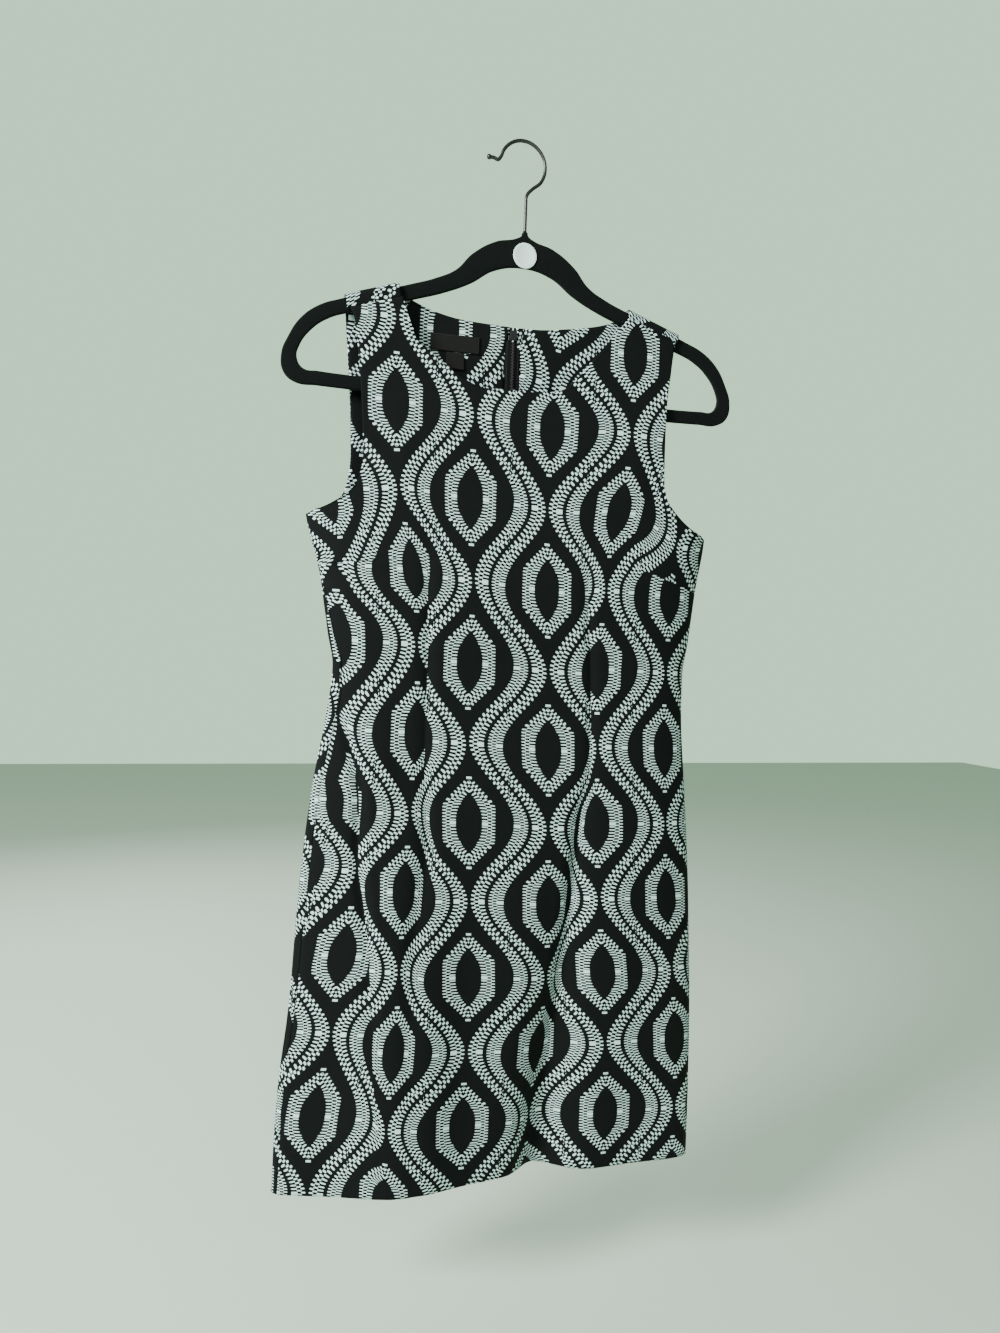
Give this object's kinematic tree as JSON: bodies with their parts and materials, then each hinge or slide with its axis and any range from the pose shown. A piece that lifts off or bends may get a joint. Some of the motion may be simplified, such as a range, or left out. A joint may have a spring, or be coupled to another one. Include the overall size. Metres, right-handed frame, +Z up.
{
  "type": "shift dress on hanger",
  "caption": "Sleeveless knee-length shift dress with a scoop neck, waist darts and a back zip, hanging on a slim flocked hanger with a wire hook.",
  "frame": {"origin": "inside crown of the hanger's hook, where it rests on a rail or prong", "axes": "+Z up as it hangs, +X to the right of someone facing the dress's front, +Y from front to back"},
  "size_m": [0.4448, 0.0673, 1.0073],
  "materials": {
    "printed_cloth": "crisp cotton satin weave, black with a pale grey-green print",
    "zip_tape": "black woven tape",
    "label_black": "black woven label, bare",
    "zip_metal": "black lacquered",
    "pull_metal": "black lacquered",
    "flock": "black velvet flock on plastic",
    "disc_white": "smooth white, bare",
    "dark_nickel": "dark nickel plate"
  },
  "bodies": {
    "dress": {"front_panel": "printed_cloth", "back_left": "printed_cloth", "back_right": "printed_cloth", "facing_left": "printed_cloth", "facing_right": "printed_cloth", "zip_tape_left": "zip_tape", "zip_tape_right": "zip_tape", "zip_slider": "zip_metal", "main_label": "label_black", "size_tab": "label_black", "hanger_body": "flock", "hanger_disc": "disc_white", "hanger_hook": "dark_nickel"},
    "zip_pull": {"zip_pull_tab": "pull_metal"}
  },
  "joints": [
    {"name": "zip_pull_hinge", "type": "hinge", "parent": "dress", "child": "zip_pull", "pos_m": [-0.00592, 0.01084, -0.17095], "axis": [1, 0, 0], "range_deg": [0, 165]}
  ]
}
